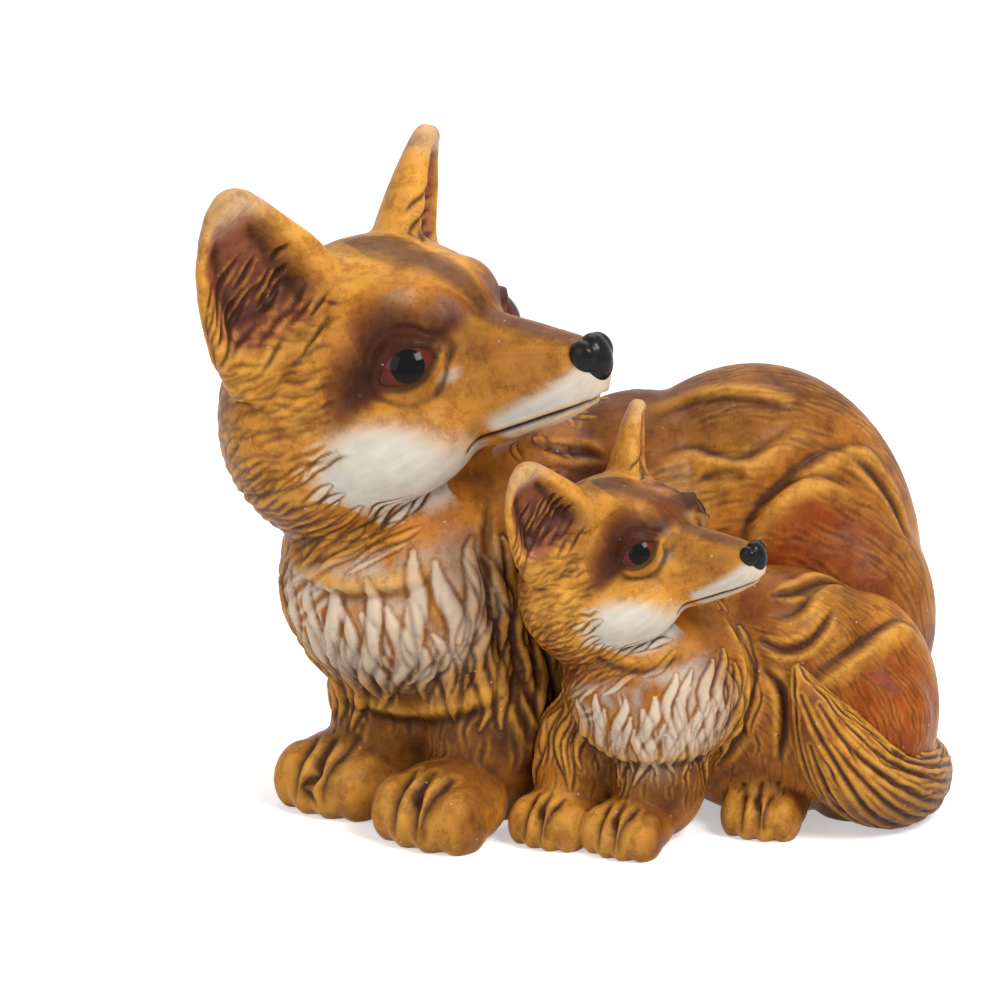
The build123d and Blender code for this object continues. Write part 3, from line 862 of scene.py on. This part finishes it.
# dark round the eyes, running out to a tail behind and below, and a painted highlight below each inner corner
def paintEyes(clay, fox, colour, h):
    lid = clay.paint["lid"]
    clay.paint["mascara"] = np.zeros(len(h))
    for side in ("right", "left"):
        centre, rows = eyeAxes(fox, side)
        along, rise, out = ((h - centre) @ rows.T).T
        near = (np.abs(out) < 18) & (np.hypot(along, rise) < 40)
        high = smoothStep(-3.5, 2, rise - 0.2 * along)
        low = np.hypot((along + 15) / 15, (rise - 0.8 - 0.32 * (along + 15)) / 6.5)
        layer(colour, "rust", bump((lid - 12) / 7) * high * near * 0.3)
        tail = (1 - smoothStep(0.2, 1.25, low)) * 0.8
        shade = np.maximum(smoothStep(18.5, 5.0, lid) * (0.12 + 0.88 * high), tail)
        # painted highlight, a pale spot below the inner corner of the eye
        corner = np.hypot((along - 9) / 4, (rise + 7.5) / 2)
        layer(colour, "cream", (1 - smoothStep(0.3, 1.3, corner)) * near * 0.6)
        layer(colour, "dark", shade * near)
        clay.paint["mascara"] = np.maximum(clay.paint["mascara"], shade * near)
        layer(colour, "black", smoothStep(2.0, 0.6, lid) * near * 0.85)


def paintEars(clay, colour, fine):
    up, inside, inner = clay.paint["earRise"], clay.paint["earIn"], clay.paint["earSide"]
    tip = smoothStep(0.62, 0.95, up)
    layer(colour, "gold", (up > -0.2) * 0.4)
    outerSide = smoothStep(0.75, 0.0, inner + 0.1 * fine)
    layer(colour, "pink", smoothStep(0.1, 0.5, inside) * (0.25 + 0.6 * outerSide))
    deep = smoothStep(0.35, 0.9, inside) * smoothStep(0.95, 0.3, up)
    layer(colour, "plum", deep * smoothStep(0.85, 0.25, inner) * 0.85)
    layer(colour, "cream", tip * 0.45 * (1 - 0.6 * smoothStep(0.3, 0.8, inside)))


# cream tips on the ruff over a brown wash, then brushwork along the body's arcs, and gold on the toes as a painted
# highlight
def paintTrunk(clay, fox, colour, q, offHead, broad, dab):
    ruff = fox["ruffHeart"], fox["ruffReach"]
    layer(colour, "brown", smoothStep(-0.5, 0.6, broad * 0.5 + dab) * offHead * 0.35)
    bib = clay.paint["bib"] = patch(q, *ruff, 0.6, 1.2, 0.2 * dab) * offHead
    layer(colour, "brown", patch(q, *ruff, 0.9, 1.6) * offHead * 0.3)
    layer(colour, "cream", bib * smoothStep(-0.6, 0.3, dab) * 0.65)
    layer(colour, "cream", bib * smoothStep(0.1, 0.7, clay.paint["ridge"]) * 0.95)
    layer(colour, "ochre", bib * clay.paint["grooveAndShade"] * 0.9)
    aside, above = q[:, 0] - fox["arc"][0], q[:, 2] - fox["arc"][1]
    away, turn = np.hypot(aside, above), np.arctan2(above, aside)
    brush = fractal(np.stack([away / 1.6, turn * away / 16, q[:, 1] / 3], 1), 1.0, 61)
    brushed = smoothStep(0.0, 0.9, brush) * offHead * (1 - bib)
    layer(colour, "brown", brushed * np.where(q[:, 1] > 0, 0.25, 0.45))
    # painted highlight, gold on the toes
    for place, heading in fox["paws"].values():
        toes = q - (*place, 6) - turned(heading)[0] * fox["paw"][0] * 0.7
        layer(colour, "gold", (1 - smoothStep(0.3, 1.0, np.linalg.norm(toes, axis=1) / fox["paw"][0])) * 0.6)
    for place, reach, paint, amount in fox["tints"]:
        layer(colour, paint, patch(q, place, reach, 0.5, 1.3, 0.25 * broad) * offHead * amount)
    layer(colour, "gold", clay.paint["ridge"] * offHead * (1 - bib) * 0.35)


def paintFox(clay, fox):
    p = clay.co
    h = toHead(fox, p)
    x, y, z = h.T
    colour = np.tile(paints["ochre"], (len(p), 1))
    broad, fine, dab = fractal(p, 26 * fox["scale"] + 6, 3), fractal(p, 5, 9), fractal(p, 9, 17)
    layer(colour, "gold", smoothStep(0.0, 0.6, broad + 0.5 * dab) * 0.75)
    layer(colour, "brown", smoothStep(-0.1, 0.6, -broad + 0.5 * dab) * 0.7)
    layer(colour, "gold", smoothStep(-46, -20, z) * (np.hypot(np.abs(y), z) < 60) * 0.35)
    ring = np.arctan2(y, z + 5)
    streak = fractal(np.stack([x / 9, ring * 24, np.hypot(y, z + 5) / 9], 1), 1.6, 21)
    slim = np.interp(x, *headReach)
    inHead = smoothStep(-52, -44, z) * (np.hypot(np.abs(y), z + 9) < slim) * (x < 95)
    paintHead(clay, colour, h, inHead, streak, dab, fine)
    paintEyes(clay, fox, colour, h)
    layer(colour, "black", clay.paint["mouth"] * 1.3)
    paintEars(clay, colour, fine)
    paintTrunk(clay, fox, colour, p - fox["offset"], 1 - inHead, broad, dab)
    layer(colour, "gold", clay.paint["lit"] * 0.4)
    paintCoat(clay, fox, colour)
    layer(colour, "cream", clay.paint["bib"] * smoothStep(0.3, 0.9, clay.paint["ridge"]) * 0.4)
    layer(colour, "gold", clay.paint["lit"] * 0.35)
    layer(colour, "brown", smoothStep(0.05, 0.5, clay.paint["mascara"]) * 0.5)
    layer(colour, "dark", smoothStep(0.45, 1.0, clay.paint["mascara"]) * 0.7)
    colour *= (1 + 0.12 * fine + 0.14 * streak * inHead)[:, None]
    return np.clip(colour, 0.001, 1)


# a dark wash in the fine hollows and dry gold on the fine ridges; painted shade in the wide hollows between forms, in
# the overlap creases and near the ground, and a painted highlight on the broad bulges
def paintCoat(clay, fox, colour):
    bib, clear = clay.paint.get("bib", 0), clay.paint.get("lid", 99) > 6
    p = clay.co
    worn = clay.mean(clay.mean(p))
    hollow = ((worn - p) * clay.normals()).sum(1) / (fox["voxel"] * coarse)
    layer(colour, "dark", smoothStep(0.02, 0.16, hollow) * (0.6 - 0.4 * bib))
    wide = worn
    for k in range(int(26 / coarse ** 2)):
        wide = clay.mean(wide)
    sunk = ((wide - p) * clay.normals()).sum(1) / fox["scale"]
    # painted shade, darker in the wide hollows between forms and parts
    layer(colour, "dark", smoothStep(0.05, 0.8, sunk) * (0.75 - 0.4 * bib))
    # painted highlight, gold on the broad bulges
    layer(colour, "gold", smoothStep(0.1, 0.7, -sunk) * clear * 0.3)
    # dark wash in the carved grooves, and painted shade in the overlap creases
    layer(colour, "dark", clay.paint["grooveAndShade"] * (0.75 - 0.5 * bib))
    layer(colour, "gold", smoothStep(0.02, 0.14, -hollow) * clear * 0.35)
    # painted shade, darker towards the ground
    layer(colour, "dark", smoothStep(16, 0, p[:, 2]) * 0.25)


def paintTail(clay, fox):
    p = clay.co
    colour = np.tile(paints["ochre"], (len(p), 1))
    layer(colour, "gold", smoothStep(-0.1, 0.6, fractal(p, 14, 51)) * 0.6)
    layer(colour, "brown", smoothStep(-0.5, 0.3, fractal(p, 12, 52)) * 0.85)
    layer(colour, "dark", smoothStep(-0.1, 0.6, fractal(p, 16, 54)) * 0.5)
    layer(colour, "brown", np.full(len(p), 0.3))
    layer(colour, "gold", clay.paint["ridge"] * 0.6)
    paintCoat(clay, fox, colour)
    # painted shade, darker towards the ground
    layer(colour, "dark", smoothStep(24, 4, p[:, 2]) * 0.5)
    colour *= (1 + 0.10 * fractal(p, 4, 53))[:, None]
    return np.clip(colour, 0.001, 1)


# the worked mesh with its colours; alpha is the share of the material's wash
def meshFromClay(clay, colour):
    mesh = clay.mesh
    mesh.vertices.foreach_set("co", (clay.co * mm).astype(np.float32).ravel())
    attribute = mesh.color_attributes.new("paint", "FLOAT_COLOR", "POINT")
    share = 1 - smoothStep(0.10, 0.40, colour[:, 2:])
    attribute.data.foreach_set("color", np.hstack([colour, share]).astype(np.float32).ravel())
    mesh.polygons.foreach_set("use_smooth", np.ones(len(mesh.polygons), bool))
    mesh.update()
    return mesh


# materials
def newMaterial(name):
    material = bpy.data.materials.new(name)
    material.use_nodes = True
    return material, material.node_tree, material.node_tree.nodes["Principled BSDF"]


# a node with its values by socket, and the outputs that feed its sockets
def addNode(tree, kind, values, **sources):
    node = tree.nodes.new("ShaderNode" + kind)
    for socket, value in values.items():
        node.inputs[socket].default_value = value
    for socket, source in sources.items():
        tree.links.new(source, node.inputs[socket])
    return node


# terms are numbers or outputs
def addMath(tree, operation, *terms):
    node = addNode(tree, "Math", {})
    node.operation = operation
    for socket, term in zip(node.inputs, terms):
        if isinstance(term, float):
            socket.default_value = term
        else:
            tree.links.new(term, socket)
    return node.outputs[0]


# stops are place and colour, from low to high
def addRamp(tree, source, low, high):
    ramp = addNode(tree, "ValToRGB", {}, Fac=source)
    for stop, (place, colour) in zip(ramp.color_ramp.elements, (low, high)):
        stop.position = place
        stop.color = (*colour, 1)
    return ramp


# noise scales are cells a metre
castLook = {
    "specular": 0.10, "roughest": 0.50, "smoothest": 0.30, "sheen": 120, "speck": 900, "wash": 170, "chips": 140,
    "washColour": (0.42, 0.30, 0.24), "speckColour": (0.30, 0.22, 0.18), "bump": 0.25, "bumpHeight": 0.0004,
}


def castMaterial():
    look = castLook
    white, black = (1, 1, 1), (0, 0, 0)
    material, tree, shader = newMaterial("paintedCasting")
    shader.inputs["Specular IOR Level"].default_value = look["specular"]
    place = addNode(tree, "TexCoord", {}).outputs["Object"]
    paint = addNode(tree, "VertexColor", {})
    paint.layer_name = "paint"
    speck = addNode(tree, "TexNoise", {"Scale": look["speck"], "Detail": 3}, Vector=place).outputs["Fac"]
    speckRamp = addRamp(tree, speck, (0.30, look["speckColour"]), (0.36, white))
    wash = addNode(tree, "TexNoise", {"Scale": look["wash"], "Detail": 9, "Roughness": 0.72}, Vector=place)
    washRamp = addRamp(tree, wash.outputs["Fac"], (0.40, look["washColour"]), (0.53, white))
    chips = addNode(tree, "TexVoronoi", {"Scale": look["chips"]}, Vector=place)
    chipRamp = addRamp(tree, chips.outputs["Distance"], (0.035, white), (0.055, black))
    below = paint.outputs["Color"]
    for ramp, kind, share in ((washRamp, "MULTIPLY", 0.55), (speckRamp, "MULTIPLY", 0.4), (chipRamp, "LIGHTEN", 0.25)):
        mix = tree.nodes.new("ShaderNodeMix")
        mix.data_type = "RGBA"
        mix.blend_type = kind
        if kind == "MULTIPLY":
            tree.links.new(addMath(tree, "MULTIPLY", paint.outputs["Alpha"], share), mix.inputs["Factor"])
        else:
            mix.inputs["Factor"].default_value = share
        tree.links.new(below, mix.inputs["A"])
        tree.links.new(ramp.outputs["Color"], mix.inputs["B"])
        below = mix.outputs["Result"]
    tree.links.new(below, shader.inputs["Base Color"])
    sheen = addNode(tree, "TexNoise", {"Scale": look["sheen"], "Detail": 4}, Vector=place).outputs["Fac"]
    limits = {"From Min": 0.3, "From Max": 0.7, "To Min": look["smoothest"], "To Max": look["roughest"]}
    rough = addNode(tree, "MapRange", limits, Value=sheen)
    tree.links.new(rough.outputs["Result"], shader.inputs["Roughness"])
    grain = addNode(tree, "Bump", {"Strength": look["bump"], "Distance": look["bumpHeight"]}, Height=speck)
    tree.links.new(grain.outputs["Normal"], shader.inputs["Normal"])
    return material


castPaint = castMaterial()


# one plane cuts a closed mesh into two closed meshes: behind it and in front of it
def cutBoth(bm, place, normal):
    sides = []
    for front in (False, True):
        half = bm.copy()
        bmesh.ops.bisect_plane(
            half, geom=half.verts[:] + half.edges[:] + half.faces[:], plane_co=Vector(place) * mm,
            plane_no=Vector(normal), clear_inner=front, clear_outer=not front)
        rim = [e for e in half.edges if e.is_boundary]
        for e in rim:
            e.smooth = False
        for f in bmesh.ops.holes_fill(half, edges=rim, sides=0)["faces"]:
            f.smooth = False
        sides.append(half)
    bm.free()
    return sides


# a piece in the scene: on its body, in its paint slot, for its CAD node
def addPiece(bm, name, material):
    mesh = bpy.data.meshes.new(name)
    bm.to_mesh(mesh)
    bm.free()
    mesh.materials.append(material)
    piece = bpy.data.objects.new(name, mesh)
    bpy.context.collection.objects.link(piece)
    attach(piece, "root")
    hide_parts(name.replace(".", "_"))
    return piece


def fromMesh(mesh):
    bm = bmesh.new()
    bm.from_mesh(mesh)
    return bm


# cuts the worked fox along the casting's seams into its pieces
def splitFox(name, fox, clay, colour):
    place, tilt, heading = fox["neck"]
    tilt = radians(tilt)
    lean = np.array([0, 0, cos(tilt)]) - ground(heading) * sin(tilt)
    trunk, head = cutBoth(fromMesh(meshFromClay(clay, colour)), fox["offset"] + place, lean)
    parts = {}
    for side in ("right", "left"):
        outward = earOutward(fox, side)
        seam = fox["origin"] + outward * earForm["seamOut"] * fox["scale"]
        head, parts[side + "_ear"] = cutBoth(head, seam, outward)
    parts["head"] = head
    spine = ground(fox["spine"])
    trunk, parts["haunch"] = cutBoth(trunk, fox["offset"] + spine * fox["haunchSeam"], spine)
    front, parts["body"] = cutBoth(trunk, fox["offset"] + spine * fox["chestSeam"], spine)
    legs, parts["chest"] = cutBoth(front, (0, 0, fox["legSeam"]), (0, 0, 1))
    gap, heading = fox["gap"]
    parts["right_foreleg"], parts["left_foreleg"] = cutBoth(legs, fox["offset"] + ground(heading) * gap, ground(heading))
    if "hind" in fox["paws"]:
        place, heading = fox["paws"]["hind"]
        low, rest = cutBoth(parts["body"], (0, 0, fox["hindSeam"]), (0, 0, 1))
        behind, parts["hind_paw"] = cutBoth(low, fox["offset"] + (*place, 0), ground(heading))
        parts["body"] = bmesh.new()
        for half in (behind, rest):
            made = bpy.data.meshes.new("joined")
            half.to_mesh(made)
            half.free()
            parts["body"].from_mesh(made)
    for part, half in parts.items():
        addPiece(half, f"{name}.{part}", castPaint)
    print(name, "split into", len(parts), "pieces")


for name, fox in foxes.items():
    clay = sculptFox(name, fox)
    furFox(name, clay, fox)
    splitFox(name, fox, clay, paintFox(clay, fox))


# tails: places and half thickness from the root, the vixen's from her stand
# and the cub's as points of the camera's view with their depth
tails = {
    "vixen": {
        "voxel": 0.7, "twist": 1.1, "stations": [
            ((97, 30, 11), 5), ((88, 44, 12), 10), ((68, 57, 13), 13), ((38, 61, 14), 14),
            ((10, 54, 13.5), 12.5), ((-10, 45, 11), 8.5), ((-24, 39, 9), 2.5),
        ],
    },
    "cub": {
        "voxel": 0.42, "twist": 0.9, "view": [
            (908, 740, 8, 2.5), (918, 750, -3, 6.5), (924, 766, -16, 8.8), (912, 782, -29, 11),
            (888, 786, -38.5, 13), (855, 770, -44.5, 13.6), (829, 740, -48.5, 11.4),
            (809, 703, -50.5, 6.6), (795, 664, -50.5, 1.0),
        ],
    },
}
tailStrands, tailSeed = 17, 41


# the brush's line with its half thickness, smoothed, and its direction
def tailLine(name, tail):
    if "stations" in tail:
        centres = np.array([np.array(place) + foxes[name]["offset"] for place, thick in tail["stations"]])
        radii = [thick for place, thick in tail["stations"]]
    else:
        centres = np.array([atDepth(u, v, y) for u, v, y, thick in tail["view"]])
        radii = [thick for u, v, y, thick in tail["view"]]
    knots = range(len(centres))
    share = np.linspace(0, len(centres) - 1, 26)
    line = np.stack([np.interp(share, knots, values) for values in (*centres.T, radii)], 1)
    for k in range(3):
        line[1:-1] = (line[:-2] + line[1:-1] * 2 + line[2:]) / 4
    return line, np.gradient(line[:, :3], axis=0)


for name, tail in tails.items():
    fox = foxes[name]
    line, ahead = tailLine(name, tail)
    frames = []
    for way in ahead:
        a = unit(np.cross(way, (0.2, 0.1, 1)))
        frames.append((a, unit(np.cross(unit(way), a))))
    bm = bmesh.new()
    addLoft(bm, [(spot[:3], a * spot[3], b * spot[3]) for spot, (a, b) in zip(line, frames)])
    clay = Clay(remeshed(bm, name + "Tail", tail["voxel"]))
    clay.combTree = clay.tree()
    rng = np.random.default_rng(tailSeed)
    size = tail["voxel"] / 0.7
    for k in range(tailStrands):
        start, path = 2 * pi * k / tailStrands + rng.uniform(-0.1, 0.1), []
        first, last = rng.integers(0, 9), rng.integers(19, 25)
        for j in range(first, last, 2):
            turn = start + tail["twist"] * j / 25 + 0.12 * sin(j * 0.5 + k)
            a, b = frames[j]
            out = a * cos(turn) + b * sin(turn)
            path.append(onSkin(clay.combTree, line[j, :3] + out * line[j, 3]))
        carve(clay, path, 1.5 * size, 1.5 * size, 0.6 * size, 0.4)
    settle(clay)
    comb(clay, fox, "tail", np.ones(len(clay.co)), lambda p: ahead[np.argmin(((line[:, :3] - p) ** 2).sum(1))])
    clay.co[:, 2] = np.maximum(clay.co[:, 2], 0)
    addPiece(fromMesh(meshFromClay(clay, paintTail(clay, fox))), name + ".tail", castPaint)
print("tails laid")

# eyes and noses; pupil and rim are shares of the reach, in the head's millimetres
enamel = {
    "iris": rgb(100, 38, 24), "pupil": 0.44, "pupilColour": (0.004, 0.003, 0.003), "rim": 0.93, "reach": 11.0,
    "eyeRough": 0.10, "eyeSpecular": 0.12, "noseSpecular": 0.15,
}


# the paint of an eye: pupil, iris and a darker rim by the distance from the pupil
def eyeMaterial():
    iris = enamel["iris"]
    material, tree, shader = newMaterial("eyeEnamel")
    look = addNode(tree, "Attribute", {})
    look.attribute_name = "fromPupil"
    place = addNode(tree, "TexCoord", {}).outputs["Object"]
    grain = addNode(tree, "TexNoise", {"Scale": 700}, Vector=place).outputs["Fac"]
    wobble = addMath(tree, "MULTIPLY_ADD", grain, 0.5, look.outputs["Fac"])
    away = addMath(tree, "DIVIDE", wobble, enamel["reach"])
    ramp = addRamp(tree, away, (enamel["pupil"], enamel["pupilColour"]), (enamel["pupil"] + 0.03, iris))
    ramp.color_ramp.elements.new(enamel["rim"]).color = (*(iris * 0.4), 1)
    tree.links.new(ramp.outputs["Color"], shader.inputs["Base Color"])
    shader.inputs["Roughness"].default_value = enamel["eyeRough"]
    shader.inputs["Specular IOR Level"].default_value = enamel["eyeSpecular"]
    return material


def noseMaterial():
    material, tree, shader = newMaterial("noseEnamel")
    place = addNode(tree, "TexCoord", {}).outputs["Object"]
    pores = addNode(tree, "TexNoise", {"Scale": 900, "Detail": 4}, Vector=place).outputs["Fac"]
    tone = addRamp(tree, pores, (0, (0.003, 0.003, 0.003)), (1, (0.014, 0.011, 0.011)))
    tree.links.new(tone.outputs["Color"], shader.inputs["Base Color"])
    shader.inputs["Specular IOR Level"].default_value = enamel["noseSpecular"]
    sheen = addNode(tree, "MapRange", {"To Min": 0.10, "To Max": 0.28}, Value=pores)
    tree.links.new(sheen.outputs["Result"], shader.inputs["Roughness"])
    dimple = addNode(tree, "Bump", {"Strength": 0.15, "Distance": 0.0002}, Height=pores)
    tree.links.new(dimple.outputs["Normal"], shader.inputs["Normal"])
    return material


# a ball in its socket, cut flat inside the head
def eyeBall(name, fox, side):
    s = fox["scale"]
    centre, rows = eyeAxes(fox, side)
    heart = fromHead(fox, centre - rows[2] * eyeForm["sink"])
    outward = rows[2] @ fox["axes"]
    seat = heart + outward * eyeForm["seat"] * s
    bm = bmesh.new()
    bmesh.ops.create_icosphere(bm, subdivisions=5, radius=eyeForm["ball"] * s * mm)
    bmesh.ops.translate(bm, verts=bm.verts, vec=Vector(heart) * mm)
    bmesh.ops.bisect_plane(
        bm, geom=bm.verts[:] + bm.edges[:] + bm.faces[:], plane_co=Vector(seat) * mm,
        plane_no=Vector(outward), clear_inner=True)
    bmesh.ops.holes_fill(bm, edges=[e for e in bm.edges if e.is_boundary], sides=0)
    for f in bm.faces:
        f.smooth = True
    eye = addPiece(bm, f"{name}.{side}_eye", eyeEnamel)
    co = np.empty(len(eye.data.vertices) * 3)
    eye.data.vertices.foreach_get("co", co)
    local = (toHead(fox, co.reshape(-1, 3) / mm) - centre) @ rows.T
    away = np.hypot(local[:, 0] - 0.6, local[:, 1] - 0.3)
    eye.data.attributes.new("fromPupil", "FLOAT", "POINT").data.foreach_set("value", away.astype(np.float32))


# the pad and its two wings: place and half sizes in the head's millimetres
noseForms = [((76.9, 0, -6.2), (4.4, 4.9, 6.8)), ((75.8, -3.5, -4.8), (4.2, 3.3, 4.6)), ((75.8, 3.5, -4.8), (4.2, 3.3, 4.6))]
eyeEnamel, noseEnamel = eyeMaterial(), noseMaterial()
for name, fox in foxes.items():
    for side in ("right", "left"):
        eyeBall(name, fox, side)
    s = fox["scale"]
    bm = bmesh.new()
    for place, halves in noseForms:
        addBall(bm, fromHead(fox, place), [half * s for half in halves], fox["axes"])
    bm = fromMesh(remeshed(bm, name + "Nose", 0.32 * s))
    for f in bm.faces:
        f.smooth = True
    addPiece(bm, f"{name}.nose", noseEnamel)
print("eyes and noses made")

# stage; the strengths are for what the camera sees and for what lights the object
stage = {"floor": 3.0, "floorColour": (0.9, 0.9, 0.9, 1), "floorGlow": 0.45, "worldSeen": 1.0, "worldLight": 0.38}


# 1 for what the camera sees, straight, in a reflection or through glass
def seenDirectly(tree):
    light = addNode(tree, "LightPath", {})
    total = light.outputs["Is Camera Ray"]
    for kind in ("Is Glossy Ray", "Is Transmission Ray"):
        total = addMath(tree, "MAXIMUM", total, light.outputs[kind])
    return total


bm = bmesh.new()
bmesh.ops.create_grid(bm, x_segments=1, y_segments=1, size=stage["floor"])
floorMesh = bpy.data.meshes.new("floor")
bm.to_mesh(floorMesh)
bm.free()
floor = bpy.data.objects.new("floor", floorMesh)
bpy.context.collection.objects.link(floor)
floorPaint, tree, shader = newMaterial("floorPaint")
shader.inputs["Base Color"].default_value = stage["floorColour"]
shader.inputs["Roughness"].default_value = 0.9
shader.inputs["Specular IOR Level"].default_value = 0.0
shader.inputs["Emission Color"].default_value = (1, 1, 1, 1)
glow = addMath(tree, "MULTIPLY", seenDirectly(tree), stage["floorGlow"])
tree.links.new(glow, shader.inputs["Emission Strength"])
floorMesh.materials.append(floorPaint)

world = bpy.data.worlds.new("world")
world.use_nodes = True
bpy.context.scene.world = world
tree = world.node_tree
background = tree.nodes["Background"]
background.inputs["Color"].default_value = (1, 1, 1, 1)
limits = {"To Min": stage["worldLight"], "To Max": stage["worldSeen"]}
strength = addNode(tree, "MapRange", limits, Value=seenDirectly(tree))
tree.links.new(strength.outputs["Result"], background.inputs["Strength"])
lamps = {
    "key": {"place": (0.62, -0.75, 1.0), "size": 0.45, "power": 12.5},
    "fill": {"place": (-0.9, -0.7, 0.6), "size": 0.9, "power": 4},
    "top": {"place": (0.1, 0.5, 1.2), "size": 0.8, "power": 5},
}
for name, lamp in lamps.items():
    data = bpy.data.lights.new(name, "AREA")
    data.size = lamp["size"]
    data.energy = lamp["power"]
    obj = bpy.data.objects.new(name, data)
    obj.location = lamp["place"]
    aim = Vector((0, 0, 0.08)) - Vector(lamp["place"])
    obj.rotation_euler = aim.to_track_quat("-Z", "Y").to_euler()
    bpy.context.collection.objects.link(obj)
bpy.context.scene.view_settings.view_transform = "Standard"
print("stage set")
